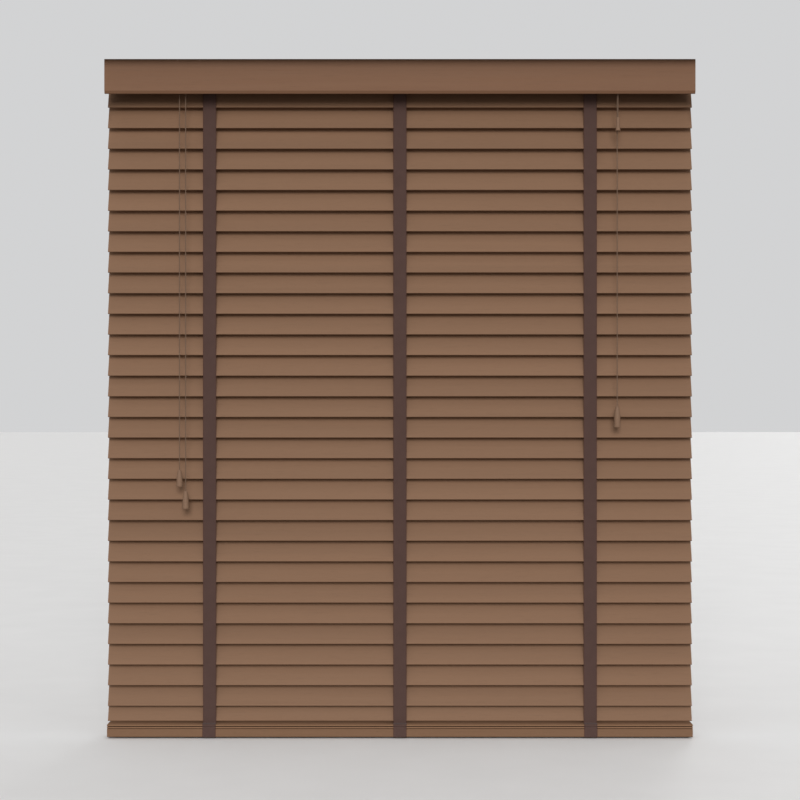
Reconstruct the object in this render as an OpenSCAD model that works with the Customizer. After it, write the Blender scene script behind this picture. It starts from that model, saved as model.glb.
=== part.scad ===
// Venetian blind, 50 mm wooden slats on woven ladder tapes, drawn fully closed.
// Origin: top of the centre bracket, on the lintel. +X right, -Y to the room, +Z up.

/* [Slats] */
// Length of a slat
slat_len = 1200; // [1160:2:1260]
// Thickness of a slat
slat_t = 3; // [2.4:0.1:3]
// Distance between slat axes
pitch = 42.41; // [41.5:0.01:42.5]
// Distance between the axes of the last two slats
last_pitch = 30.8; // [29:0.1:32]
// Angle of the closed slats, front edge down
closed_angle = 66; // [60:1:66]
// Height of the slots for the lift cords, across the slat
slot_len = 20; // [19:0.5:22]
// Width of those slots
slot_w = 7; // [5:0.5:8]

/* [Tapes] */
// Width of a ladder tape
tape_w = 27; // [24:1:27]
// Distance from a slat end to the nearest tape centre
tape_inset = 209; // [190:1:230]
// Thickness of a ladder tape
tape_t = 0.8; // [0.6:0.1:0.8]

/* [Bottom rail] */
// Height of the bottom rail
rail_h = 17.2; // [16:0.1:22]
// Length of the bottom rail
rail_len = 1200; // [1196:1:1206]
// Drop from the last slat axis to the top of the rail
rail_drop = 36.7; // [36:0.05:41]
// Bore for a lift cord
cord_bore_d = 6; // [5:0.1:6.5]

/* [Headrail] */
// Sheet thickness of the headrail
sheet_t = 0.8; // [0.7:0.1:0.9]
// Diameter of the tilt rod
rod_d = 6; // [5:0.1:6]

/* [Valance] */
// Height of the valance
valance_h = 70; // [60:1:74]
// Thickness of the valance
valance_t = 9; // [8:0.5:10]

/* [Brackets] */
// Sheet thickness of the brackets
bracket_t = 1.5; // [1.2:0.1:1.5]
// Diameter of the screw holes
screw_d = 4.5; // [4:0.1:5]

/* [Cords] */
// Diameter of the lift and tilt cords
cord_d = 2; // [1.6:0.1:2]
// Base diameter of a lift tassel
tassel_d = 14.8; // [12:0.2:15]

/* [Hidden] */
SLATS = 31;
slat_names = [for (k = [1 : SLATS]) str("slat_", k < 10 ? "0" : "", k)];
$fn = 48;

wood = "#85664f";
valance_brown = "#7f604a";
tape_brown = "#54433c";
steel = "#b9bcbf";
plastic = "#5b4a3e";
tassel_brown = "#8c705c";

// Slat stack
slat_w = 50;
first_axis_z = -71.1;
edge_r = slat_t / 2;
rail_axis_z = first_axis_z - (SLATS - 2) * pitch - last_pitch;
function slat_z(k) = k < SLATS ? first_axis_z - (k - 1) * pitch : rail_axis_z;
tape_x = slat_len / 2 - tape_inset;
tape_places = [-tape_x, 0, tape_x];
cord_dx = -8;
rail_top = rail_axis_z - rail_drop;
rail_bottom = rail_top - rail_h;
rail_top_r = 2.5;
rail_bottom_r = 2.5;
resting_gap = [0.8, 1.6];
resting_low_z = rail_top + resting_gap[0] + slat_t / 2;
resting_slats_z = [resting_low_z, resting_low_z + slat_t + resting_gap[1]];
stack_top = resting_slats_z[1] + slat_t / 2;
slat_edge_r = 1;

// Tilt shaft: the rockers are the first rung of every ladder
rod_z = -30.45;
rung_r = 27.8;
rocker_reach = 25;
rocker_bar_r = 1;
tape_y = rung_r * cos(closed_angle);
tape_dz = rung_r * sin(closed_angle);
tape_above_pivot = 1;
tape_len = rod_z - rail_axis_z + tape_above_pivot - 20;

// Headrail channel
rail_gap = 2;
channel_y = 30;
channel_bottom = -47.5;
channel_floor = channel_bottom + sheet_t;
channel_half = slat_len / 2 - 5;
lip = 5;
tape_window_y = 28.9;
tape_window_x = 14.8;

// Tilter
tilter_x = slat_len / 2 - 156;
gear_teeth = 26;
gear_module = 0.7;
gear_r = gear_teeth * gear_module / 2 + 0.6;
worm_r = 3.2;
worm_z = rod_z + gear_r + worm_r + 0.2;
drum_r = 9.1;
drum_flange_r = 10.9;
nose_y = -53;
cord_y_back = -34.5;
cord_y_front = -49.2;
eyelet_z = -52;

// Cord lock
lock_x = -slat_len / 2 + 156;
lock_pull_x = [lock_x - 6.2, lock_x + 6.3];
lock_pull_y = -36;
pawl_y = -12;
pawl_z = -34;

// Valance
valance_y = -54;
valance_top = -2.5;
clip_places = [-520, -200, 200, 520];

// Brackets
bracket_len = 38;
bracket_out = slat_len / 2 - 1.5;
hook_z = channel_bottom;
gate_y = -33;
gate_t = 1.2;
gate_h = 46;

// Routes of the free cords, as points they pass
lift_route_a = [for (z = [-50 : -40 : -850]) [lock_pull_x[0], lock_pull_y, z]];
lift_route_b = [for (z = [-50 : -40 : -890]) [lock_pull_x[1], lock_pull_y, z]];
tilt_route_short = [for (z = [-51 : -13 : -129]) [tilter_x, cord_y_front, z]];
tilt_route_long = [for (z = [-51 : -40 : -731]) [tilter_x, cord_y_back, z]];
lift_tassel_top = [-838, -881];
lift_tassel_h = [34.1, 36.5];
tilt_tassel_h = [27.5, 42.6];
tilt_tassel_d = [11.4, 14.4];
tilt_tassel_top_short = -119.5;
tilt_tassel_top_long = -708.2;

// Inside the headrail the three lift cords run side by side under the tilt rod
run_z = -43.5;
turn_r = 4;
lane_y = [0, -2.5, 2.5];
lock_in_x = lock_x + 14;
lock_out_x = [lock_pull_x[0], lock_pull_x[1], lock_pull_x[0]];

module along_x(length) {
    rotate([90, 0, 90]) linear_extrude(length, center = true) children();
}

module obround(length, width) {
    square([length - width, width], center = true);
    for (s = [-1, 1]) translate([s * (length - width) / 2, 0]) circle(d = width);
}

module plate(x, y, z) {
    translate([x[0], y[0], z[0]]) cube([x[1] - x[0], y[1] - y[0], z[1] - z[0]]);
}

// A round tube swept through points, closed at both ends
function unit(v) = v / norm(v);
function tangent(p, i) = unit(p[min(i + 1, len(p) - 1)] - p[max(i - 1, 0)]);
function ring(p, i, r, n) =
    let (t = tangent(p, i), u = unit(cross(t, [0.5, 0.7, 0.5])), v = cross(t, u))
    [for (k = [0 : n - 1]) p[i] + r * (cos(360 * k / n) * u + sin(360 * k / n) * v)];
module tube(p, r, n = 8) {
    last = (len(p) - 1) * n;
    polyhedron(
        points = [for (i = [0 : len(p) - 1]) each ring(p, i, r, n)],
        faces = concat(
            [[for (k = [0 : n - 1]) k]],
            [for (i = [0 : len(p) - 2], k = [0 : n - 1])
                [i * n + k, (i + 1) * n + k, (i + 1) * n + (k + 1) % n, i * n + (k + 1) % n]],
            [[for (k = [n - 1 : -1 : 0]) last + k]]));
}

// A flat strip's section, with its corners rounded
module soft_bar(width, height, r) {
    square([width - 2 * r, height], center = true);
    square([width, height - 2 * r], center = true);
    for (y = [-1, 1], z = [-1, 1]) translate([y * (width / 2 - r), z * (height / 2 - r)]) circle(r);
}

module slat_blank() {
    difference() {
        along_x(slat_len) soft_bar(slat_w, slat_t, slat_edge_r);
        for (x = tape_places)
            translate([x + cord_dx, 0, 0]) linear_extrude(2 * slat_t, center = true)
                rotate(90) obround(slot_len, slot_w);
    }
}

module slat(k) {
    color(wood) translate([0, 0, slat_z(k)]) rotate([closed_angle, 0, 0]) slat_blank();
}

// Two slats more, which lie flat on the bottom rail
module resting_slats() {
    color(wood) for (z = resting_slats_z) translate([0, 0, z]) slat_blank();
}

module rail_section() {
    w = slat_w / 2;
    difference() {
        translate([-w, rail_bottom]) square([slat_w, rail_h]);
        for (s = [-1, 1]) {
            translate([s * w, rail_top]) square(2 * rail_top_r, center = true);
            translate([s * w, rail_bottom]) square(2 * rail_bottom_r, center = true);
        }
    }
    for (s = [-1, 1]) {
        translate([s * (w - rail_top_r), rail_top - rail_top_r]) circle(rail_top_r);
        translate([s * (w - rail_bottom_r), rail_bottom + rail_bottom_r]) circle(rail_bottom_r);
    }
}

module bottom_rail() {
    color(wood) difference() {
        along_x(rail_len) rail_section();
        for (x = tape_places)
            translate([x + cord_dx, 0, rail_bottom - 1]) cylinder(h = rail_h + 2, d = cord_bore_d);
    }
}

// Plates under the rail that pin the tape ends and cover the cord knots
module rail_tape_clips() {
    clip_top = rail_bottom - 1.1;
    color(plastic) for (x = tape_places) {
        translate([x, 0, clip_top - 1.8]) linear_extrude(1.8) rotate(90) obround(20, 12);
        plate([x - 15, x + 15], [-6, 6], [clip_top - 1.8, clip_top]);
        translate([x + cord_dx, 0, clip_top - 1]) cylinder(h = 3.1, d = cord_bore_d - 0.1);
    }
}

module tape_strip(x, y, z_top, length) {
    plate([x - tape_w / 2, x + tape_w / 2], [y, y + tape_t], [z_top - length, z_top]);
}

module front_tapes() {
    color(tape_brown) for (x = tape_places)
        tape_strip(x, -tape_y - tape_t, rod_z - tape_dz + tape_above_pivot, tape_len);
}

module rear_tapes() {
    color(tape_brown) for (x = tape_places)
        tape_strip(x, tape_y, rod_z + tape_dz + tape_above_pivot, tape_len);
}

// Lower ends of the ladders, folded round the bottom rail
module tape_tails() {
    gap = 0.25;
    y = slat_w / 2 + gap;
    z = rail_bottom - gap;
    color(tape_brown) for (x = tape_places) {
        half = [x - tape_w / 2, x + tape_w / 2];
        difference() {
            union() {
                plate(half, [-y - tape_t, -y], [z - tape_t, stack_top]);
                plate(half, [y, y + tape_t], [z - tape_t, stack_top]);
                plate(half, [-y - tape_t, y + tape_t], [z - tape_t, z]);
            }
            translate([x + cord_dx, 0, z - 2]) cylinder(h = 4, d = cord_bore_d + 0.4);
        }
    }
}

module headrail() {
    inner = channel_y - sheet_t;
    top = -rail_gap;
    color(steel) difference() {
        union() {
            plate([-channel_half, channel_half], [-channel_y, channel_y], [channel_bottom, channel_floor]);
            for (s = [-1, 1]) {
                plate([-channel_half, channel_half], s > 0 ? [inner, channel_y] : [-channel_y, -inner],
                    [channel_bottom, top]);
                plate([-channel_half, channel_half],
                    s > 0 ? [channel_y - lip, channel_y] : [-channel_y, lip - channel_y],
                    [top - sheet_t, top]);
            }
        }
        for (x = tape_places)
            plate([x - tape_window_x, x + tape_window_x], [-tape_window_y, tape_window_y],
                [channel_bottom - 1, channel_floor + 1]);
        // Windows in the front wall for the tilter and the cord lock
        plate([tilter_x - 14, tilter_x + 14], [-channel_y - 1, -channel_y + 2], [channel_floor, top - 1.5]);
        plate([lock_x - 15, lock_x + 15], [-channel_y - 1, -channel_y + 2], [channel_floor, -20]);
    }
}

module headrail_end_caps() {
    color(plastic) for (s = [-1, 1]) {
        plate(s > 0 ? [channel_half, channel_half + 1.2] : [-channel_half - 1.2, -channel_half],
            [-channel_y, channel_y], [channel_bottom, -rail_gap]);
        plate(s > 0 ? [channel_half - 8, channel_half] : [-channel_half, 8 - channel_half],
            [sheet_t + 0.2 - channel_y, channel_y - sheet_t - 0.2],
            [channel_floor + 0.2, -rail_gap - sheet_t - 0.2]);
    }
}

module valance() {
    color(valance_brown) along_x(slat_len) valance_section();
}

// Rounded upper edge, bevelled lower edge
module valance_section() {
    edge = 3;
    front = valance_y - valance_t;
    bottom = valance_top - valance_h;
    difference() {
        polygon([[valance_y, valance_top], [front, valance_top], [front, bottom + 5.5],
            [front + 3, bottom], [valance_y, bottom]]);
        translate([front, valance_top]) square(2 * edge, center = true);
    }
    translate([front + edge, valance_top - edge]) circle(edge);
}

// Formed clips from the headrail to the back of the valance
module valance_clips() {
    t = 1.2;
    hook_y = -channel_y - t;
    color(plastic) for (x = clip_places) {
        wide = [x - 10, x + 10];
        plate(wide, [hook_y, -channel_y], [-34, -0.7]);
        plate(wide, [hook_y, -channel_y + lip], [-1.9, -0.7]);
        plate(wide, [valance_y + t, hook_y], [-18, -18 + t]);
        plate(wide, [valance_y, valance_y + t], [-52, -7]);
        for (s = [-1, 1])
            plate([x + s * 5 - 0.8, x + s * 5 + 0.8], [valance_y + t, hook_y], [-26, -18]);
    }
}

// Box bracket for the right end; the left one is its mirror image
// Height of the holes in the left and the right bracket's side
side_holes_z = [-18, -22];

module end_bracket(side_z) {
    inside = bracket_out - bracket_t;
    near = bracket_out - bracket_len;
    back = 31;
    front = -32.2;
    guide = -36.4;
    difference() {
        union() {
            plate([near, bracket_out], [front, back + bracket_t], [-bracket_t, 0]);
            plate([inside, bracket_out], [guide, back + bracket_t], [hook_z - bracket_t, 0]);
            plate([near, bracket_out], [back, back + bracket_t], [hook_z - bracket_t, 0]);
            plate([near, bracket_out], [15, back + bracket_t], [hook_z - bracket_t, hook_z]);
            plate([near, bracket_out], [front, -15], [hook_z - bracket_t, hook_z]);
            plate([inside - 4, bracket_out], [guide, guide + bracket_t], [hook_z - bracket_t, 0]);
        }
        plate([inside - 1, bracket_out + 1], [-14, 14], [hook_z - bracket_t - 1, hook_z + 1]);
        for (s = [-1, 1]) {
            translate([near + bracket_len / 2, s * 12, -bracket_t - 1]) cylinder(h = bracket_t + 2, d = screw_d);
            translate([near + bracket_len / 2 + s * 9, back - 1, -20]) rotate([-90, 0, 0])
                cylinder(h = bracket_t + 2, d = screw_d);
            translate([inside - 1, s * 12, side_z]) rotate([0, 90, 0]) cylinder(h = bracket_t + 2, d = screw_d);
        }
    }
}

// Front gate of a box bracket; it slides down out of its guide
module gate() {
    far = bracket_out - bracket_t - 0.3;
    near = bracket_out - bracket_len;
    plate([near, far], [gate_y - gate_t, gate_y], [-gate_h - 1.2, -1.2]);
    plate([near, far - 6], [gate_y - 3.2, gate_y], [-gate_h - 1.2, -gate_h]);
    plate([near, near + 1.2], [gate_y - 2.6, gate_y], [-gate_h - 1.2, -1.2]);
}

module end_brackets() {
    color(steel) end_bracket(side_holes_z[1]);
    color(steel) mirror([1, 0, 0]) end_bracket(side_holes_z[0]);
}

module gate_left() {
    color(steel) mirror([1, 0, 0]) gate();
}

module gate_right() {
    color(steel) gate();
}

// Hanger over the middle of the headrail, open where the centre tape passes
module centre_bracket() {
    half = 32;
    back = 30.4;
    color(steel) difference() {
        union() {
            plate([-half, half], [-32, back + bracket_t], [-bracket_t, 0]);
            plate([-half, half], [-32, -32 + bracket_t], [-14, 0]);
            plate([-half, half], [back, back + bracket_t], [-30, 0]);
            for (s = [-1, 1]) {
                x = s > 0 ? [half - 12, half] : [-half, 12 - half];
                plate(x, [back, back + bracket_t], [hook_z - bracket_t, 0]);
                plate(x, [18, back + bracket_t], [hook_z - bracket_t, hook_z]);
            }
        }
        for (s = [-1, 1])
            translate([s * 20, 0, -bracket_t - 1]) cylinder(h = bracket_t + 2, d = screw_d);
    }
}

module tilt_rod() {
    start = -tape_x - 26;
    color(steel) translate([start, 0, rod_z]) rotate([0, 90, 0])
        cylinder(h = tilter_x + 16.5 - start, d = rod_d);
}

// Rockers on the rod: a hub, a web and two bars that carry the tapes
module tape_rockers() {
    color(plastic) for (x = tape_places)
        translate([x, 0, rod_z]) rotate([closed_angle, 0, 0]) difference() {
            union() {
                rotate([0, 90, 0]) cylinder(h = 10, r = 6, center = true);
                cube([8, 2 * rocker_reach, 2 * rocker_bar_r], center = true);
                for (s = [-1, 1]) translate([0, s * rocker_reach, 0]) rotate([0, 90, 0])
                    cylinder(h = tape_w - 1, r = rocker_bar_r, center = true);
            }
            rotate([0, 90, 0]) cylinder(h = 12, d = rod_d + 0.04, center = true);
        }
}

// Cradles beside every tape: a bearing for the rod, a gate for the cords, a sill at the turn
module rod_supports() {
    wide = 5;
    for_x = tape_window_x + 0.5;
    color(plastic) for (x = tape_places, s = [-1, 1]) {
        near = x + s * for_x;
        block = s > 0 ? [near, near + wide] : [near - wide, near];
        difference() {
            plate(block, [-12, 12], [channel_floor, rod_z + 7]);
            plate([block[0] - 1, block[1] + 1], [-5.2, 5.2], [channel_floor - 1, -40.6]);
            translate([block[0] - 1, 0, rod_z]) rotate([0, 90, 0]) cylinder(h = wide + 2, d = rod_d + 0.1);
        }
    }
    color(plastic) for (x = tape_places) {
        sill = x + cord_dx - turn_r;
        translate([sill, 0, channel_bottom + 0.1]) rotate([90, 0, 0]) cylinder(h = 12, r = 2.7, center = true);
        difference() {
            plate([x - for_x - wide, sill], [-6, 6], [channel_floor, -44.8]);
            plate([x - for_x - wide - 1, x - for_x + 0.01], [-5.21, 5.21], [-46, -44]);
        }
    }
}

module tilt_gear() {
    width = 7;
    bore = rod_d + 0.04;
    color("#d9d4c8") translate([tilter_x, 0, rod_z]) rotate([closed_angle, 0, 0]) rotate([0, 90, 0]) {
        linear_extrude(width, center = true) difference() {
            union() {
                circle(gear_r - 1.3);
                for (k = [0 : gear_teeth - 1]) rotate(k * 360 / gear_teeth)
                    polygon([[gear_r - 1.6, -0.75], [gear_r, -0.3], [gear_r, 0.3], [gear_r - 1.6, 0.75]]);
            }
            circle(d = bore);
        }
        difference() {
            cylinder(h = width + 5, r = 5, center = true);
            cylinder(h = width + 7, d = bore, center = true);
        }
    }
}

// Worm, its shaft and the cord pulley on the shaft's front end
module tilter_worm() {
    core = 2.3;
    lead = PI * gear_module;
    turns = 6;
    pulley_y = -42;
    color("#d9d4c8") translate([tilter_x, 0, worm_z]) rotate([90, 0, 0]) {
        translate([0, 0, -18.5]) cylinder(h = 65.5, r = core);
        translate([0, 0, -lead * turns / 2]) for (k = [0 : turns])
            translate([0, 0, k * lead]) rotate_extrude()
                polygon([[core - 0.2, -0.8], [worm_r, -0.3], [worm_r, 0.3], [core - 0.2, 0.8]]);
        translate([0, 0, -pulley_y]) {
            cylinder(h = 8, r = drum_r, center = true);
            for (s = [-1, 1]) translate([0, 0, s * 3.25]) cylinder(h = 1.5, r = drum_flange_r, center = true);
        }
    }
}

// Gearbox inside the headrail with a nose over the front wall
module tilter_housing() {
    half = 13.4;
    wall = 2;
    in = half - wall;
    inner_y = channel_y - sheet_t - 0.3;
    top = -rail_gap - 1.7;
    low = channel_floor;
    color(plastic) difference() {
        union() {
            plate([tilter_x - half, tilter_x + half], [nose_y, 19], [low, top]);
            for (y = [cord_y_back, cord_y_front])
                translate([tilter_x, y, eyelet_z]) cylinder(h = low - eyelet_z, r = 2.9);
        }
        plate([tilter_x - in, tilter_x + in], [-inner_y + wall + 1, 17], [low + wall, top - 1.2]);
        plate([tilter_x - in, tilter_x + in], [nose_y + wall, -inner_y - 1], [low + wall, top - 1.2]);
        translate([tilter_x, 30, worm_z]) rotate([90, 0, 0]) cylinder(h = 65, r = 2.35);
        translate([tilter_x - half - 1, 0, rod_z]) rotate([0, 90, 0]) cylinder(h = 2 * half + 2, d = rod_d + 0.1);
        for (y = [cord_y_back, cord_y_front])
            translate([tilter_x, y, eyelet_z - 1]) cylinder(h = low - eyelet_z + wall + 2, r = cord_d / 2 + 0.4);
    }
}

// Lock for the lift cords, with a nose over the front wall
module cord_lock_housing() {
    half = 14.2;
    wall = 2;
    in = half - wall;
    low = channel_floor;
    top = -22;
    color(plastic) difference() {
        union() {
            plate([lock_x - half, lock_x + half], [-43, 12], [low, top]);
            for (x = lock_pull_x) translate([x, lock_pull_y, -49.5]) cylinder(h = low + 49.5, r = 2.9);
        }
        plate([lock_x - in, lock_x + in], [-41, 10], [low + 1.2, top - 2]);
        plate([lock_x + in - 1, lock_x + half + 1], [-4.5, 4.5], [low + 1.2, -40.6]);
        translate([lock_x - half - 1, pawl_y, pawl_z]) rotate([0, 90, 0]) cylinder(h = 2 * half + 2, r = 1.55);
        for (x = lock_pull_x)
            translate([x, lock_pull_y, -51]) cylinder(h = low + 54, r = cord_d / 2 + 0.4);
    }
}

// Cam of the cord lock on its pin
module cord_lock_pawl() {
    color(steel) translate([lock_x, pawl_y, pawl_z]) {
        rotate([0, 90, 0]) cylinder(h = 28, r = 1.5, center = true);
        difference() {
            translate([0, 0, -1.9]) rotate([0, 90, 0]) cylinder(h = 23, r = 6, center = true);
            translate([0, 0, 12]) cube([30, 30, 20], center = true);
        }
    }
}

// Lift cord of tape t, from its bore in the bottom rail to the cord lock
function lift_route(t) =
    let (x = [-tape_x, 0, tape_x][t] + cord_dx, lane = lane_y[t], out = lock_out_x[t])
    concat(
        [[x, 0, rail_top - 2], [x, 0, channel_bottom]],
        [for (a = [30 : 30 : 90]) [x - turn_r + turn_r * cos(a), 0, channel_bottom + turn_r * sin(a)]],
        [[x - 14, lane * 0.5, run_z], [x - 24, lane, run_z], [lock_in_x, lane, run_z]],
        [[out + 3, t == 2 ? -5.5 : -8, run_z - 0.5], [out, -18, run_z - 0.9], [out, -30, run_z - 0.9]]);

module lift_cords() {
    color("#6b574a") for (t = [0 : 2]) tube(lift_route(t), cord_d / 2);
}

// The body widens from its shoulder down to its waist, and then to the foot
module tassel(h, d, waist, waist_at, shoulder = 0.24) {
    top_r = shoulder * d;
    waist_r = waist * d;
    round_r = 1.2;
    base_r = d / 2;
    difference() {
        union() {
            rotate_extrude() polygon([[0, 0], [top_r - 0.6, 0], [top_r, -0.8], [waist_r, -h * waist_at],
                [base_r - 0.3, round_r - h], [base_r - 0.3, 0.6 - h], [base_r - 0.9, -h], [0, -h]]);
            translate([0, 0, round_r - h]) rotate_extrude() translate([base_r - round_r, 0]) circle(round_r, $fn = 24);
        }
        translate([0, 0, -h - 1]) cylinder(h = h + 2, r = cord_d / 2 + 0.2);
        translate([0, 0, -h - 1]) cylinder(h = h * 0.45 + 1, r = top_r);
    }
}

module lift_pull_cords() {
    color("#6b574a") {
        tube(lift_route_a, cord_d / 2);
        tube(lift_route_b, cord_d / 2);
    }
}

module lift_tassels() {
    color(tassel_brown) for (k = [0, 1])
        translate([lock_pull_x[k], lock_pull_y, lift_tassel_top[k]])
            tassel(lift_tassel_h[k], tassel_d + 0.6 * k, 0.42, 0.7);
}

module tilt_cord_short() {
    color("#6b574a") tube(tilt_route_short, cord_d / 2);
}

module tilt_tassel_short() {
    color(tassel_brown) translate([tilter_x, cord_y_front, tilt_tassel_top_short])
        tassel(tilt_tassel_h[0], tilt_tassel_d[0], 0.335, 0.78, 0.29);
}

module tilt_cord_long() {
    color("#6b574a") tube(tilt_route_long, cord_d / 2);
}

module tilt_tassel_long() {
    color(tassel_brown) translate([tilter_x, cord_y_back, tilt_tassel_top_long])
        tassel(tilt_tassel_h[1], tilt_tassel_d[1], 0.455, 0.55);
}

for (k = [1 : SLATS]) slat(k);
resting_slats();
bottom_rail();
rail_tape_clips();
front_tapes();
rear_tapes();
tape_tails();
headrail();
headrail_end_caps();
valance();
valance_clips();
end_brackets();
centre_bracket();
gate_left();
gate_right();
tilter_housing();
tilter_worm();
tilt_gear();
tilt_rod();
tape_rockers();
rod_supports();
cord_lock_housing();
cord_lock_pawl();
lift_cords();
lift_pull_cords();
lift_tassels();
tilt_cord_short();
tilt_tassel_short();
tilt_cord_long();
tilt_tassel_long();
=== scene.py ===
"""Wooden 50 mm venetian blind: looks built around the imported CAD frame.

All lengths are in metres. X points right, Y to the back and Z up, with the headrail's top at Z = 0.
"""

import math

import bpy
import numpy as np
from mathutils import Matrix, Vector


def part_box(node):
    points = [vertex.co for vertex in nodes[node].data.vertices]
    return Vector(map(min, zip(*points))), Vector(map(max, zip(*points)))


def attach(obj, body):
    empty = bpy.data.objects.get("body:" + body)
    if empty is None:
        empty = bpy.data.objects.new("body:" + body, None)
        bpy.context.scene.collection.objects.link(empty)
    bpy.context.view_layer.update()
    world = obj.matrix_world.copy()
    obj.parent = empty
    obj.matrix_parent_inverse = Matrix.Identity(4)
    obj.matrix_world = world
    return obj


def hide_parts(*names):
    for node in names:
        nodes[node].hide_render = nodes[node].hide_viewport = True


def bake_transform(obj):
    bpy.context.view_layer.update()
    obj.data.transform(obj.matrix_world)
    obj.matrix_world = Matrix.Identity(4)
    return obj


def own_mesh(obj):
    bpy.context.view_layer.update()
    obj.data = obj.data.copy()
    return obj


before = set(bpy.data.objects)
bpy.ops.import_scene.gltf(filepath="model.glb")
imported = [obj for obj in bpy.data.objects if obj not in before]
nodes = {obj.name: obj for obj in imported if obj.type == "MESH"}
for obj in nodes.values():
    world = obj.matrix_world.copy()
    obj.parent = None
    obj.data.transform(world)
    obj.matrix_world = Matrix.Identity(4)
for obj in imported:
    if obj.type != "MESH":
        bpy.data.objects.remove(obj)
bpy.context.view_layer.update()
scene = bpy.context.scene
scene.view_settings.view_transform = "Standard"

# Layout of the blind, as in the CAD
CLOSED = math.radians(66)  # the slats' angle from level, front edge down
SLAT_HALF = 0.025
SLAT_T = 0.003
FIRST_Z = -0.0711  # axis of the first slat
PITCH = 0.04241
LAST_Z = -1.33179  # axis of the last slat, which hangs nearer to the one above it
SLATS = 31
TAPE_X = (-0.391, 0.0, 0.391)
TAPE_W = 0.027
TAPE_T = 0.0008
RUNG_R = 0.0278  # from a slat's axis to the tape's inner face
CORD_DX = -0.008  # the lift cords' offset from the tapes
CORD_R = 0.001
ROD_Z = -0.03045
RAIL_TOP = -1.36849
RAIL_BOTTOM = -1.38569
RESTING_GAPS = (0.0008, 0.0016)  # under the lower and the upper slat that lie on the rail
STACK_TOP = RAIL_TOP + sum(RESTING_GAPS) + 2 * SLAT_T
CHANNEL_BOTTOM = -0.0475
LOCK_X = -0.444
PULL_X = (-0.4502, -0.4377)
PULL_Y = -0.036
TILTER_X = 0.444
TILT_Y = (-0.0492, -0.0345)


def slat_z(k):
    return LAST_Z if k == SLATS else FIRST_Z - (k - 1) * PITCH


# ---------------------------------------------------------------- camera
camera_data = bpy.data.cameras.new("camera")
camera_data.lens = 91.97
camera_data.sensor_width = 36
camera_data.clip_end = 60
camera = bpy.data.objects.new("camera", camera_data)
camera.location = (0.0002, -4.211, -0.695)
camera.rotation_euler = (math.radians(90), 0, 0)
scene.collection.objects.link(camera)
scene.camera = camera

# ---------------------------------------------------------------- materials
TURN = 2 * math.pi


class Shader:
    """A node material with short calls for its textures."""

    def __init__(self, name, roughness=0.5, **sockets):
        self.mat = bpy.data.materials.new(name)
        self.mat.use_nodes = True
        self.tree = self.mat.node_tree
        self.bsdf = next(n for n in self.tree.nodes if n.type == "BSDF_PRINCIPLED")
        self.bsdf.inputs["Roughness"].default_value = roughness
        for key, value in sockets.items():
            self.bsdf.inputs[key.replace("_", " ")].default_value = value

    def node(self, kind, **inputs):
        n = self.tree.nodes.new(kind)
        for key, value in inputs.items():
            self.set(n.inputs[key.replace("_", " ")], value)
        return n

    def set(self, socket, value):
        if isinstance(value, bpy.types.NodeSocket):
            self.tree.links.new(value, socket)
        else:
            socket.default_value = value

    def coords(self, scale=(1, 1, 1), uv=None):
        """Object coordinates, or the UV map named uv, times scale."""
        if uv:
            source = self.tree.nodes.new("ShaderNodeUVMap")
            source.uv_map = uv
            out = source.outputs["UV"]
        else:
            out = self.tree.nodes.new("ShaderNodeTexCoord").outputs["Object"]
        return self.node("ShaderNodeMapping", Vector=out, Scale=scale).outputs["Vector"]

    def noise(self, vector, scale=1.0, detail=3.0, rough=0.5, distortion=0.0):
        n = self.node("ShaderNodeTexNoise", Vector=vector, Scale=scale, Detail=detail,
                      Roughness=rough, Distortion=distortion)
        return n.outputs["Fac"]

    def math(self, operation, a, b=0.0, c=0.0):
        n = self.tree.nodes.new("ShaderNodeMath")
        n.operation = operation
        for socket, value in zip(n.inputs, (a, b, c)):
            self.set(socket, value)
        return n.outputs[0]

    def ramp(self, fac, *stops):
        """A colour ramp over fac. Each stop is a position with a colour or a grey."""
        n = self.tree.nodes.new("ShaderNodeValToRGB")
        self.set(n.inputs["Fac"], fac)
        ends = n.color_ramp.elements
        while len(ends) < len(stops):
            ends.new(0.5)
        for e, (position, colour) in zip(ends, stops):
            e.position = position
            e.color = (*colour, 1) if hasattr(colour, "__len__") else (colour, colour, colour, 1)
        return n.outputs["Color"]

    def mottle(self, fac, colour, dark, light):
        """Colour that goes from dark to light times itself over the middle of fac."""
        return self.ramp(fac, (0.3, shade(colour, dark)), (0.7, shade(colour, light)))

    def mix(self, fac, a, b, mode="MIX"):
        n = self.tree.nodes.new("ShaderNodeMix")
        n.data_type = "RGBA"
        n.blend_type = mode
        self.set(n.inputs[0], fac)
        for socket, value in ((n.inputs[6], a), (n.inputs[7], b)):
            self.set(socket, (*value, 1) if isinstance(value, tuple) and len(value) == 3 else value)
        return n.outputs[2]

    def colour(self, value):
        self.set(self.bsdf.inputs["Base Color"], value)

    def rough(self, fac, low, high):
        n = self.node("ShaderNodeMapRange", Value=fac, To_Min=low, To_Max=high)
        self.set(self.bsdf.inputs["Roughness"], n.outputs["Result"])

    def bump(self, height, strength, distance):
        """Adds a layer of relief over the ones before it."""
        last = self.bsdf.inputs["Normal"]
        before = last.links[0].from_socket if last.links else None
        n = self.node("ShaderNodeBump", Height=height, Strength=strength, Distance=distance)
        if before:
            self.tree.links.new(before, n.inputs["Normal"])
        self.tree.links.new(n.outputs["Normal"], last)


def shade(colour, factor):
    return tuple(c * factor for c in colour)


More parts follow.
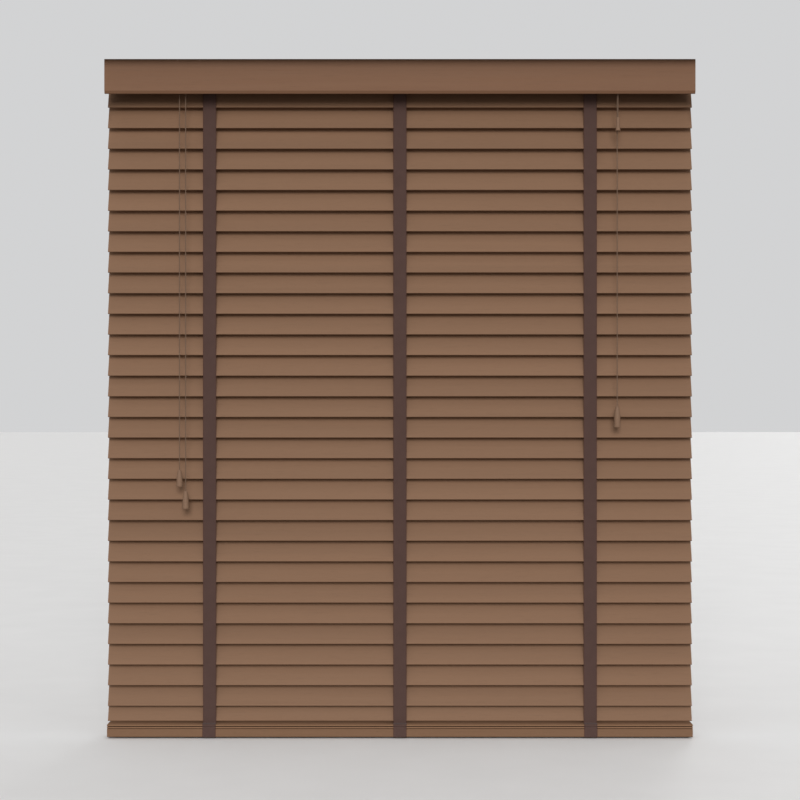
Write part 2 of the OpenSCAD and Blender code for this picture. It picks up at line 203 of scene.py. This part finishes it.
def wood(name, colour, contrast, gloss=0.16):
    """Stained, lacquered basswood with its grain along X. The four noises go from broad to fine."""
    s = Shader(name, 0.6, Specular_IOR_Level=gloss)
    board = s.noise(s.coords((0.35, 14, 14)), 1.0, 2.0)
    grain = s.noise(s.coords((4.0, 260, 260)), 1.0, 4.0, 0.6, 0.35)
    streak = s.noise(s.coords((1.1, 70, 70)), 1.0, 3.0, 0.55, 0.6)
    pores = s.noise(s.coords((26, 1500, 1500)), 1.0, 2.0, 0.7)
    dark, light = shade(colour, 1 - contrast), shade(colour, 1 + contrast)
    warm = (colour[0] * 1.08, colour[1] * 0.98, colour[2] * 0.92)
    base = s.ramp(streak, (0.25, dark), (0.5, colour), (0.78, light))
    base = s.mix(s.math("MULTIPLY", grain, 0.45), base, warm)
    base = s.mix(0.5, base, s.mottle(board, colour, 0.9, 1.1))
    pore = s.ramp(pores, (0.3, 0.72), (0.42, 1.0))
    s.colour(s.mix(0.55, base, pore, "MULTIPLY"))
    s.rough(grain, 0.52, 0.68)
    s.bump(pores, 0.1, 0.0002)
    s.bump(grain, 0.12, 0.0003)
    return s.mat


def weave(name, colour):
    """A woven tape: warp and weft threads, fuzzy in tone, with a firmer and redder selvedge."""
    warp, weft, selvedge_w = 0.0011, 0.0009, 0.0022
    s = Shader(name, 0.88, Sheen_Weight=0.06, Sheen_Roughness=0.5, Specular_IOR_Level=0.08)
    split = s.node("ShaderNodeSeparateXYZ", Vector=s.coords(uv="weave"))
    u, v = split.outputs["X"], split.outputs["Y"]
    across = s.math("SINE", s.math("MULTIPLY", u, TURN / warp))
    along = s.math("SINE", s.math("MULTIPLY", v, TURN / weft))
    threads = s.math("MULTIPLY_ADD", s.math("MULTIPLY", across, along), 0.5, 0.5)
    fuzz = s.noise(s.coords(uv="weave"), 2600, 2.0, 0.6)
    tone = s.noise(s.coords(uv="weave"), 45, 3.0)
    base = s.ramp(threads, (0.1, shade(colour, 0.72)), (0.55, colour), (0.95, shade(colour, 1.22)))
    base = s.mix(s.math("MULTIPLY", fuzz, 0.5), base, shade(colour, 1.12))
    base = s.mix(0.35, base, s.mottle(tone, colour, 0.86, 1.1))
    edge = s.math("SUBTRACT", s.math("ABSOLUTE", u), TAPE_W / 2 - selvedge_w)
    edge = s.math("MULTIPLY", s.math("MAXIMUM", edge, 0.0), 1 / selvedge_w)
    selvedge = (colour[0] * 0.92, colour[1] * 0.68, colour[2] * 0.62)
    s.colour(s.mix(s.math("MULTIPLY", s.math("MINIMUM", edge, 1.0), 0.7), base, selvedge))
    s.bump(threads, 0.55, 0.00025)
    s.bump(fuzz, 0.2, 0.0001)
    return s.mat


def braid(name, colour):
    """A braided cord: fibres run round it in both directions."""
    fibres, lay = 24, 0.0008
    s = Shader(name, 0.72, Sheen_Weight=0.2, Specular_IOR_Level=0.3)
    split = s.node("ShaderNodeSeparateXYZ", Vector=s.coords(uv="weave"))
    u, v = split.outputs["X"], split.outputs["Y"]
    left, right = (
        s.math("SINE", s.math("MULTIPLY_ADD", u, TURN * n, s.math("MULTIPLY", v, TURN / lay)))
        for n in (fibres, -fibres))
    threads = s.math("MULTIPLY_ADD", s.math("MULTIPLY", left, right), 0.5, 0.5)
    tone = s.noise(s.coords(uv="weave"), 160, 3.0)
    base = s.ramp(threads, (0.1, shade(colour, 0.78)), (0.6, colour), (0.95, shade(colour, 1.2)))
    s.colour(s.mix(0.3, base, s.mottle(tone, colour, 0.85, 1.12)))
    s.bump(threads, 0.4, 0.0001)
    return s.mat


def metal(name, colour, roughness):
    """Bare zinc-plated metal, a little cloudy."""
    s = Shader(name, roughness, Metallic=1.0)
    fine = s.noise(s.coords(), 900, 3.0, 0.6)
    broad = s.noise(s.coords(), 28, 4.0, 0.55)
    s.colour(s.mottle(broad, colour, 0.94, 1.06))
    s.rough(fine, roughness - 0.08, roughness + 0.1)
    s.bump(fine, 0.12, 0.00015)
    return s.mat


def paint(name, colour, roughness=0.4):
    """Powder-coated steel: fine orange peel and faint wear."""
    s = Shader(name, roughness, Coat_Weight=0.15, Coat_Roughness=0.3)
    peel = s.noise(s.coords(), 520, 2.0)
    broad = s.noise(s.coords(), 22, 4.0, 0.6)
    s.colour(s.mottle(broad, colour, 0.93, 1.05))
    s.rough(broad, roughness - 0.05, roughness + 0.09)
    s.bump(peel, 0.18, 0.0002)
    return s.mat


def plastic(name, colour, roughness=0.45):
    """Moulded plastic with a fine grain."""
    s = Shader(name, roughness)
    grain = s.noise(s.coords(), 1500, 2.0)
    broad = s.noise(s.coords(), 40, 3.0)
    s.colour(s.mottle(broad, colour, 0.94, 1.06))
    s.rough(grain, roughness - 0.06, roughness + 0.08)
    s.bump(grain, 0.14, 0.0001)
    return s.mat


SLAT_WOOD = wood("slat_wood", (0.200, 0.1145, 0.0685), 0.08)
# The slats that lie on the rail: the slat wood painted about 6% lighter, as painted light on the
# stack's top face, which faces up and gets little of the low key light
RESTING_WOOD_PAINTED_LIGHTER = wood("resting_wood_painted_lighter", (0.212, 0.122, 0.073), 0.08, gloss=0.0)
RAIL_WOOD = wood("rail_wood", (0.172, 0.099, 0.0595), 0.08, gloss=0.03)
VALANCE_WOOD = wood("valance_wood", (0.188, 0.099, 0.057), 0.09)
TASSEL_WOOD = wood("tassel_wood", (0.202, 0.123, 0.079), 0.10, gloss=0.2)
TAPE = weave("tape", (0.080, 0.0472, 0.040))
CORD = braid("cord", (0.142, 0.084, 0.051))
STEEL = paint("steel", (0.30, 0.25, 0.21))
ZINC = metal("zinc", (0.55, 0.55, 0.56), 0.38)
MOULDING = plastic("moulding", (0.10, 0.066, 0.046))
GEAR = plastic("gear_plastic", (0.62, 0.60, 0.55))

# ---------------------------------------------------------------- mesh helpers
CURVE_STEPS = 24  # steps between two points of a path, before it is evened out
PATH_STEP = 0.004
TAPE_COLUMNS = 18  # points across a tape


def piece(name, verts, faces, material, uvs=None):
    mesh = bpy.data.meshes.new(name)
    mesh.from_pydata([tuple(v) for v in verts], [], faces)
    if uvs is not None:
        layer = mesh.uv_layers.new(name="weave")
        index = [loop.vertex_index for loop in mesh.loops]
        layer.data.foreach_set("uv", np.array(uvs, float)[index].ravel())
    mesh.polygons.foreach_set("use_smooth", [True] * len(mesh.polygons))
    mesh.materials.append(material)
    mesh.update()
    obj = bpy.data.objects.new(name, mesh)
    scene.collection.objects.link(obj)
    return obj


def resample(points, step):
    """Even steps along a centripetal Catmull-Rom curve through points."""
    p = [Vector(q) for q in points]
    p = [2 * p[0] - p[1], *p, 2 * p[-1] - p[-2]]
    fine = []
    for a, b, c, d in zip(p, p[1:], p[2:], p[3:]):
        t0, t1 = 0.0, (b - a).length ** 0.5
        t2 = t1 + (c - b).length ** 0.5
        t3 = t2 + (d - c).length ** 0.5
        for i in range(CURVE_STEPS):
            t = t1 + (t2 - t1) * i / CURVE_STEPS
            a1 = a * ((t1 - t) / (t1 - t0)) + b * ((t - t0) / (t1 - t0))
            a2 = b * ((t2 - t) / (t2 - t1)) + c * ((t - t1) / (t2 - t1))
            a3 = c * ((t3 - t) / (t3 - t2)) + d * ((t - t2) / (t3 - t2))
            b1 = a1 * ((t2 - t) / (t2 - t0)) + a2 * ((t - t0) / (t2 - t0))
            b2 = a2 * ((t3 - t) / (t3 - t1)) + a3 * ((t - t1) / (t3 - t1))
            fine.append(b1 * ((t2 - t) / (t2 - t1)) + b2 * ((t - t1) / (t2 - t1)))
    fine.append(p[-2])
    line = np.array(fine, float)
    s = np.concatenate([[0], np.cumsum(np.linalg.norm(np.diff(line, axis=0), axis=1))])
    n = max(2, int(round(s[-1] / step)))
    at = np.linspace(0, s[-1], n + 1)
    out = np.stack([np.interp(at, s, line[:, k]) for k in range(3)], axis=1)
    return out, at


def grid_faces(rows, columns):
    """Quads between rows of points, each row a closed ring."""
    return [(i * columns + k, i * columns + (k + 1) % columns,
             (i + 1) * columns + (k + 1) % columns, (i + 1) * columns + k)
            for i in range(rows - 1) for k in range(columns)]


def tube(name, points, radius, material, step=0.0006, sides=16, strands=4, lay=0.0045, relief=0.1):
    """A braided cord along points. Its strands cross in two directions and stand a little proud.

    Gives the piece, points along its line, and its length.
    """
    line, at = resample(points, step)
    tangents = np.gradient(line, axis=0)
    tangents /= np.linalg.norm(tangents, axis=1)[:, None]
    along_x = abs(tangents[0][0]) >= 0.9
    side = np.cross(tangents[0], (0.0, 1.0, 0.0) if along_x else (1.0, 0.0, 0.0))
    verts, uvs = [], []
    angle = np.arange(sides) * 2 * math.pi / sides
    for c, t, s in zip(line, tangents, at):
        side = side - t * np.dot(side, t)
        side /= np.linalg.norm(side)
        other = np.cross(t, side)
        twist = 2 * math.pi * s / lay
        lift = np.maximum(np.cos(strands * angle + twist), np.cos(strands * angle - twist))
        r = radius * (1 - relief + relief * lift)
        verts.extend(c + r[:, None] * (np.cos(angle)[:, None] * side
                                       + np.sin(angle)[:, None] * other))
        uvs.extend(zip(angle / (2 * math.pi), [s] * sides))
    rings = len(line)
    faces = grid_faces(rings, sides)
    verts.extend([line[0], line[-1]])
    uvs.extend([(0, 0), (0, at[-1])])
    first, last, base = rings * sides, rings * sides + 1, (rings - 1) * sides
    faces += [(first, (k + 1) % sides, k) for k in range(sides)]
    faces += [(last, base + k, base + (k + 1) % sides) for k in range(sides)]
    obj = piece(name, verts, faces, material, uvs)
    path = [tuple(q) for q in line[:: max(1, int(PATH_STEP / step))]] + [tuple(line[-1])]
    return obj, path, float(at[-1])


def lathe(name, profile, centre, material, segments=56):
    """A turned piece round a vertical line. The profile is a closed loop of (radius, height)."""
    verts = [(centre[0] + r * math.cos(2 * math.pi * k / segments),
              centre[1] + r * math.sin(2 * math.pi * k / segments), centre[2] + z)
             for r, z in profile for k in range(segments)]
    n = len(profile)
    faces = [(i * segments + k, i * segments + (k + 1) % segments,
              ((i + 1) % n) * segments + (k + 1) % segments, ((i + 1) % n) * segments + k)
             for i in range(n) for k in range(segments)]
    return piece(name, verts, faces, material)


def rounded(profile, radius, steps=3):
    """Rounds the corners of a closed profile."""
    out = []
    n = len(profile)
    for i in range(n):
        a, b, c = (Vector(profile[(i + k - 1) % n]) for k in range(3))
        da, dc = (a - b), (c - b)
        cut = min(radius, da.length * 0.4, dc.length * 0.4)
        p, q = b + da.normalized() * cut, b + dc.normalized() * cut
        for k in range(steps + 1):
            t = k / steps
            out.append(tuple(p * (1 - t) ** 2 + b * 2 * t * (1 - t) + q * t ** 2))
    return out


def half_thickness(u):
    """Half a tape's thickness at u from its middle: round selvedges, and thinner between them."""
    from_edge = TAPE_W / 2 - np.abs(u)
    edge = np.clip(from_edge / (0.6 * TAPE_T), 0, 1)
    inner = np.clip((from_edge - 0.0012) / 0.0016, 0, 1)
    half = 0.5 * TAPE_T * (0.25 + 0.75 * np.sqrt(1 - (1 - edge) ** 2))
    return half * (1 - 0.22 * inner * inner * (3 - 2 * inner))


def ribbon(name, path, x, step=0.003, v0=0.0):
    """A woven tape along path, points (y, z). Gives the piece and its length."""
    line, at = resample([(x, y, z) for y, z in path], step)
    flat = np.gradient(line, axis=0)
    flat /= np.linalg.norm(flat, axis=1)[:, None]
    out = np.cross(flat, (1.0, 0.0, 0.0))
    u = -np.cos(np.linspace(0, math.pi, TAPE_COLUMNS)) * TAPE_W / 2
    half = half_thickness(u)
    verts, uvs = [], []
    for c, o, s in zip(line, out, at):
        for sign in (1, -1):
            for k in range(TAPE_COLUMNS)[::sign]:
                verts.append(c + sign * half[k] * o + (u[k], 0, 0))
                uvs.append((u[k], s + v0))
    ring = 2 * TAPE_COLUMNS
    last = (len(line) - 1) * ring
    faces = grid_faces(len(line), ring)
    for row, flip in ((0, True), (last, False)):
        for k in range(TAPE_COLUMNS - 1):
            quad = (row + k, row + k + 1, row + ring - 2 - k, row + ring - 1 - k)
            faces.append(quad if flip else quad[::-1])
    obj = piece(name, verts, faces, TAPE, uvs)
    for edge in obj.data.edges:
        edge.use_edge_sharp = max(edge.vertices) < ring or min(edge.vertices) >= last
    return obj, float(at[-1])


def merge(name, parts):
    """Joins meshes into one piece."""
    verts, faces, uvs, offset = [], [], [], 0
    for o in parts:
        m = o.data
        verts.extend(tuple(v.co) for v in m.vertices)
        faces.extend(tuple(offset + i for i in p.vertices) for p in m.polygons)
        per = {}
        for loop, d in zip(m.loops, m.uv_layers["weave"].data):
            per[loop.vertex_index] = tuple(d.uv)
        uvs.extend(per.get(i, (0, 0)) for i in range(len(m.vertices)))
        offset += len(m.vertices)
    material = parts[0].data.materials[0]
    for o in parts:
        bpy.data.objects.remove(o)
    return piece(name, verts, faces, material, uvs)


# ---------------------------------------------------------------- pull cords and tassels
CORD_PLAY = 0.0002  # between a cord and its bore in the tassel
SHOULDER_H = 0.0012
CORNER_R = 0.0005
KNOT_R = 0.0011
KNOT_CORD_R = 0.0009


def drop(x, y, top, bottom, count=16):
    return [(x, y, top + (bottom - top) * i / count) for i in range(count + 1)]


def tassel(name, x, y, top, height, base_d, shape, body):
    """A turned wooden tassel: shoulder, widening body, a bead at the foot, a hollow below."""
    r, t = base_d / 2, shape[2] * base_d
    waist, waist_at = shape[0] * base_d, shape[1] * height
    bore = CORD_R + CORD_PLAY
    outer = [(bore, 0), (t - 0.0007, 0), (t, -SHOULDER_H)]
    outer += [(t + (waist - t) * math.sin(q * math.pi / 2) ** 0.9,
               -SHOULDER_H - (waist_at - SHOULDER_H) * q) for q in (0.25, 0.5, 0.75, 1)]
    outer += [(r - 0.0007, 0.0021 - height), (r - 0.0009, 0.0018 - height), (r, 0.0013 - height),
              (r, 0.0007 - height), (r - 0.0009, -height)]
    inner = [(t, -height), (t, -0.57 * height), (t * 0.7, -0.53 * height), (bore, -0.53 * height)]
    obj = lathe(name, rounded(outer + inner, CORNER_R), (x, y, top), TASSEL_WOOD)
    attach(obj, body)
    return obj


def knot(name, x, y, z, body):
    """The cord's end knot inside the tassel."""
    loop = [(x + KNOT_R * math.cos(a), y + KNOT_R * math.sin(a), z + 0.0005 * math.sin(2 * a))
            for a in np.linspace(0, 1.75 * math.pi, 12)]
    obj, _, _ = tube(name, loop, KNOT_CORD_R, CORD, step=0.0004, sides=12)
    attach(obj, body)
    return obj


# Greatest width, its height and the shoulder's width of each kind of tassel, as parts of its size
LIFT_SHAPE, SHORT_SHAPE, LONG_SHAPE = (0.42, 0.7, 0.24), (0.335, 0.78, 0.29), (0.455, 0.55, 0.24)
KNOT_BELOW = 0.0008  # the knot's middle below the end of the cord
PULLS = [
    # name, x, y, exit z, end z, tassel top, height, foot diameter, shape, body,
    # cord node, tassel node
    ("lift_pull_a", PULL_X[0], PULL_Y, -0.050, -0.850, -0.8380, 0.0341, 0.0148, LIFT_SHAPE,
     "lift_pull", "lift_pull_cords", "lift_tassels"),
    ("lift_pull_b", PULL_X[1], PULL_Y, -0.050, -0.890, -0.8810, 0.0365, 0.0154, LIFT_SHAPE,
     "lift_pull", "lift_pull_cords", "lift_tassels"),
    ("tilt_pull_a", TILTER_X, TILT_Y[0], -0.051, -0.129, -0.1195, 0.0275, 0.0114, SHORT_SHAPE,
     "tilt_pull_short", "tilt_cord_short", "tilt_tassel_short"),
    ("tilt_pull_b", TILTER_X, TILT_Y[1], -0.051, -0.731, -0.7082, 0.0426, 0.0144, LONG_SHAPE,
     "tilt_pull_long", "tilt_cord_long", "tilt_tassel_long"),
]
for (name, x, y, top, bottom, tassel_top, height, base_d, shape, body,
     cord_node, tassel_node) in PULLS:
    step = 0.0003 if body == "tilt_pull_short" else 0.0006
    rope, line, length = tube(name + "_cord", drop(x, y, top, bottom), CORD_R, CORD, step)
    wood_end = tassel(name + "_tassel", x, y, tassel_top, height, base_d, shape, body)
    end_knot = knot(name + "_knot", x, y, bottom - KNOT_BELOW, body)
    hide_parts(cord_node)
    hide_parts(tassel_node)
    if body == "tilt_pull_long":
        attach(rope, "headbox")
        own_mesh(rope)
    else:
        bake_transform(rope)

# ---------------------------------------------------------------- lift cords
LANES = (0.0, -0.0021, 0.0021)  # y of each cord along the headrail
TURN_R = 0.004  # of the bend from the slats into the headrail
RUN_Z = CHANNEL_BOTTOM + 0.004
TO_LANE = 0.024  # from the bend to where the cord is in its lane
RUN_STEP = 0.08
LOCK_IN_X = LOCK_X + 0.014
LOCK_X_OUT = (PULL_X[0] - 0.0011, PULL_X[1], PULL_X[0] + 0.0011)
LOCK_Y_IN = (-0.008, -0.008, -0.0055)
for t in range(3):
    x, lane, out = TAPE_X[t] + CORD_DX, LANES[t], LOCK_X_OUT[t]
    route = drop(x, 0, RAIL_TOP - 0.002, CHANNEL_BOTTOM, 12)
    route += [(x - TURN_R + TURN_R * math.cos(a), 0, CHANNEL_BOTTOM + TURN_R * math.sin(a))
              for a in np.radians((22.5, 45, 67.5, 90))]
    route += [(x - 0.014, lane / 2, RUN_Z), (x - TO_LANE, lane, RUN_Z)]
    steps = 1 + int((x - TO_LANE - LOCK_IN_X) / RUN_STEP)
    route += [(x - TO_LANE + (LOCK_IN_X - x + TO_LANE) * i / steps, lane, RUN_Z)
              for i in range(1, steps + 1)]
    route += [(out + 0.003, LOCK_Y_IN[t], RUN_Z - 0.0005), (out, -0.018, RUN_Z - 0.0009),
              (out, -0.030, RUN_Z - 0.0009)]
    rope, line, length = tube(f"lift_cord_{t + 1}", route, CORD_R, CORD, 0.0009, 12)
    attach(rope, "headbox")
    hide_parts("lift_cords")

# ---------------------------------------------------------------- ladder tapes
sin_c, cos_c = math.sin(CLOSED), math.cos(CLOSED)
RUNG_Y, RUNG_Z = RUNG_R * cos_c, RUNG_R * sin_c
TAPE_GAP = 0.00025  # between the wood and the tape folded round it
WRAP_Y = SLAT_HALF + TAPE_GAP + TAPE_T / 2
WRAP_Z = RAIL_BOTTOM - TAPE_GAP - TAPE_T / 2
WRAP_SIDE = RAIL_BOTTOM + 0.0035  # where the fold round the rail's lower corners starts
INNER_Y = RUNG_Y + TAPE_T / 2
END_LENGTH = 0.0254  # END_LENGTH = 0.0254 # of the lowest stretch of a strap, which is a piece of its own
FOLD_STEP = 0.0007

# The folded ends of a tape as points (y, z): up the front of the rail and the two slats on it,
# under the rail, and up the back
FRONT = [(-WRAP_Y, WRAP_SIDE), (-WRAP_Y, RAIL_TOP - 0.008), (-WRAP_Y, RAIL_TOP - 0.004),
         (-WRAP_Y, RAIL_TOP), (-WRAP_Y, STACK_TOP - 0.0060),
         (-WRAP_Y + 0.0001, STACK_TOP - 0.0050), (-WRAP_Y + 0.0014, STACK_TOP - 0.0038),
         (-WRAP_Y + 0.0001, STACK_TOP - 0.0026), (-WRAP_Y, STACK_TOP - 0.0017),
         (-WRAP_Y + 0.0008, STACK_TOP - 0.0002), (-WRAP_Y + 0.0035, STACK_TOP + 0.0009),
         (-INNER_Y - 0.005, STACK_TOP + 0.0012), (-INNER_Y - 0.0012, STACK_TOP + 0.0016),
         (-INNER_Y, LAST_Z - RUNG_Z)]
UNDER = [(-WRAP_Y, WRAP_SIDE), (-WRAP_Y + 0.0007, WRAP_Z + 0.0009), (-WRAP_Y + 0.003, WRAP_Z),
         (0, WRAP_Z), (WRAP_Y - 0.003, WRAP_Z), (WRAP_Y - 0.0007, WRAP_Z + 0.0009),
         (WRAP_Y, WRAP_SIDE), (WRAP_Y, RAIL_TOP), (WRAP_Y, STACK_TOP - 0.001)]
REAR = [(WRAP_Y, STACK_TOP - 0.001), (WRAP_Y + 0.0012, STACK_TOP + 0.006),
        (WRAP_Y + 0.0035, STACK_TOP + 0.018), (WRAP_Y + 0.002, STACK_TOP + 0.032),
        (INNER_Y + 0.007, STACK_TOP + 0.045), (INNER_Y + 0.0012, LAST_Z + RUNG_Z - 0.003),
        (INNER_Y, LAST_Z + RUNG_Z)]


def add_tape(obj, rides=None):
    if rides:
        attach(obj, rides)


for t, x in enumerate(TAPE_X):
    for side, face in ((-1, "front"), (1, "rear")):
        label, body = f"{face}_tape_{t + 1}", f"{face}_tape_set"
        y = side * INNER_Y
        z_top = ROD_Z + side * RUNG_Z + 0.001
        z_end = LAST_Z + side * RUNG_Z
        z_join = z_end + END_LENGTH
        main, length = ribbon(label, [(y, z_top), (y, (z_top + z_join) / 2), (y, z_join)], x)
        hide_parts(f"{face}_tapes")
        add_tape(main, body)
        end, end_length = ribbon(
            label + "_end", [(y, z_join), (y, z_end + END_LENGTH / 2), (y, z_end)], x,
            step=0.001, v0=length)
        add_tape(end, body)
        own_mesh(end)
    wrap, length = ribbon(f"rail_wrap_{t + 1}", UNDER, x, step=FOLD_STEP)
    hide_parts("tape_tails")
    add_tape(wrap, "bottom_rail")
    for side, face, path in ((-1, "front", FRONT), (1, "rear", REAR)):
        tail, length = ribbon(f"{face}_tail_{t + 1}", path, x, step=FOLD_STEP)
        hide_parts("tape_tails")
        add_tape(tail)
        stop = (0, side * INNER_Y, LAST_Z + side * RUNG_Z)
        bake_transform(tail)

# Rungs: two strands under every slat at every tape
STRANDS = (-0.0035, 0.009)
RUNG_END = [(0.0277, 0.0), (0.0264, -0.0006), (0.0252, -0.0012), (0.0240, -0.0018),
            (0.0220, -0.0019), (0.012, -0.0019)]
RUNG_LINE = [(-v, n) for v, n in RUNG_END] + [(0.0, -0.0019)] + RUNG_END[::-1]
RUNG_CORD_R, RESTING_CORD_R = 0.00035, 0.00038


def add_rungs(name, body, lines, radius):
    strands = [tube("strand", line, radius, TAPE, 0.0012, 8, 2, 0.003, 0.15)[0] for line in lines]
    rungs = merge(name, strands)
    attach(rungs, body)


for k in range(1, SLATS + 1):
    add_rungs(f"rungs_{k:02d}", f"slat_{k:02d}",
              [[(x + dx, v * cos_c - n * sin_c, slat_z(k) + v * sin_c + n * cos_c)
                for v, n in RUNG_LINE] for x in TAPE_X for dx in STRANDS], RUNG_CORD_R)
RESTING_Z = (RAIL_TOP + RESTING_GAPS[0] / 2, STACK_TOP - SLAT_T - RESTING_GAPS[1] / 2)
add_rungs("rungs_resting", "bottom_rail",
          [[(x + dx, y, z) for y in np.linspace(-WRAP_Y + 0.0014, WRAP_Y - 0.0005, 9)]
           for z in RESTING_Z for x in TAPE_X for dx in STRANDS], RESTING_CORD_R)

# ---------------------------------------------------------------- CAD nodes
NODE_FINISH = {
    "valance": VALANCE_WOOD, "bottom_rail": RAIL_WOOD, "resting_slats": RESTING_WOOD_PAINTED_LIGHTER,
    "tilt_rod": ZINC, "cord_lock_pawl": ZINC,
    "tilt_gear": GEAR, "tilter_worm": GEAR,
    "headrail": STEEL, "end_brackets": STEEL, "centre_bracket": STEEL,
    "gate_left": STEEL, "gate_right": STEEL,
    "tape_rockers": MOULDING, "tilter_housing": MOULDING, "cord_lock_housing": MOULDING,
    "rod_supports": MOULDING, "headrail_end_caps": MOULDING, "valance_clips": MOULDING,
    "rail_tape_clips": MOULDING,
}
for name, obj in nodes.items():
    finish = SLAT_WOOD if name.startswith("slat_") else NODE_FINISH.get(name)
    if finish is None:
        continue
    if obj.material_slots:
        for s in obj.material_slots:
            s.material = finish
    else:
        obj.data.materials.append(finish)

# ---------------------------------------------------------------- floor and light
FLOOR_Z = Vector(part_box("rail_tape_clips")[0]).z - 0.0002
FLOOR_HALF = 40
ground = Shader("floor", 0.75)
ground.colour(ground.ramp(ground.noise(ground.coords(), 6, 3.0),
                          (0.3, (0.77, 0.765, 0.76)), (0.7, (0.79, 0.785, 0.78))))
felt = Shader("felt", 0.9)
felt.bsdf.inputs["Base Color"].default_value = (0.03, 0.025, 0.02, 1)


def card(name, corners, camera=True, bounce=True, look=ground):
    """A flat stage piece. It shows to the camera, works on the light, or both."""
    mesh = bpy.data.meshes.new(name)
    mesh.from_pydata(corners, [], [(0, 1, 2, 3)])
    mesh.materials.append(look.mat)
    obj = bpy.data.objects.new(name, mesh)
    scene.collection.objects.link(obj)
    obj.visible_camera = camera
    obj.visible_diffuse = bounce
    obj.visible_shadow = bounce


def slab(name, half_x, y0, y1, z, **kinds):
    card(name, [(-half_x, y0, z), (half_x, y0, z), (half_x, y1, z), (-half_x, y1, z)], **kinds)


# The floor, the part of it that throws light back, and dark cards for the shade of the recess
slab("floor", FLOOR_HALF, -FLOOR_HALF, FLOOR_HALF, FLOOR_Z, bounce=False)
slab("near_floor", 0.66, -0.11, 0.10, FLOOR_Z - 0.0001)
slab("flag", 0.61, -0.099, -0.0636, 0.0012, camera=False, look=felt)
for x in (-0.604, 0.604):
    for y0, y1, z0, z1 in ((-0.061, -0.036, -0.058, -0.012), (-0.061, -0.014, -0.105, -0.058)):
        card("side_flag", [(x, y0, z0), (x, y1, z0), (x, y1, z1), (x, y0, z1)],
             camera=False, look=felt)

# The world: warm and dim from below, pale from the side and above
NADIR_TONE, SKY_TONE = (0.36, 0.32, 0.285), (0.95, 0.955, 0.965)
NADIR_HEIGHT, FADE = 0.08, 0.04  # how far below the horizon the dim part starts, and its edge
world = bpy.data.worlds.new("world")
scene.world = world
world.use_nodes = True
tree = world.node_tree
sky = tree.nodes["Background"]
sky.inputs["Strength"].default_value = 0.68
way = tree.nodes.new("ShaderNodeTexCoord").outputs["Generated"]
split = tree.nodes.new("ShaderNodeSeparateXYZ")
tree.links.new(way, split.inputs["Vector"])
fade = tree.nodes.new("ShaderNodeValToRGB")
for stop, position, tone in zip(fade.color_ramp.elements, (0.0, FADE), (NADIR_TONE, SKY_TONE)):
    stop.position = position
    stop.color = (*tone, 1)
shift = tree.nodes.new("ShaderNodeMath")
shift.operation = "ADD"
shift.inputs[1].default_value = NADIR_HEIGHT
tree.links.new(split.outputs["Z"], shift.inputs[0])
tree.links.new(shift.outputs[0], fade.inputs["Fac"])
tree.links.new(fade.outputs["Color"], sky.inputs["Color"])


def sun(name, azimuth, elevation, strength, angle, colour=(1, 1, 1)):
    """A soft lamp far off, so that the whole blind is lit evenly. Azimuth 0 is the front."""
    data = bpy.data.lights.new(name, "SUN")
    data.energy = strength
    data.angle = math.radians(angle)
    data.color = colour
    obj = bpy.data.objects.new(name, data)
    a, e = math.radians(azimuth), math.radians(elevation)
    toward = Vector((math.sin(a) * math.cos(e), -math.cos(a) * math.cos(e), math.sin(e)))
    obj.rotation_euler = toward.to_track_quat("Z", "Y").to_euler()
    scene.collection.objects.link(obj)


sun("key", 0, 20, 2.05, 26, (1.0, 0.985, 0.96))
sun("back", 165, 9, 0.5, 16)
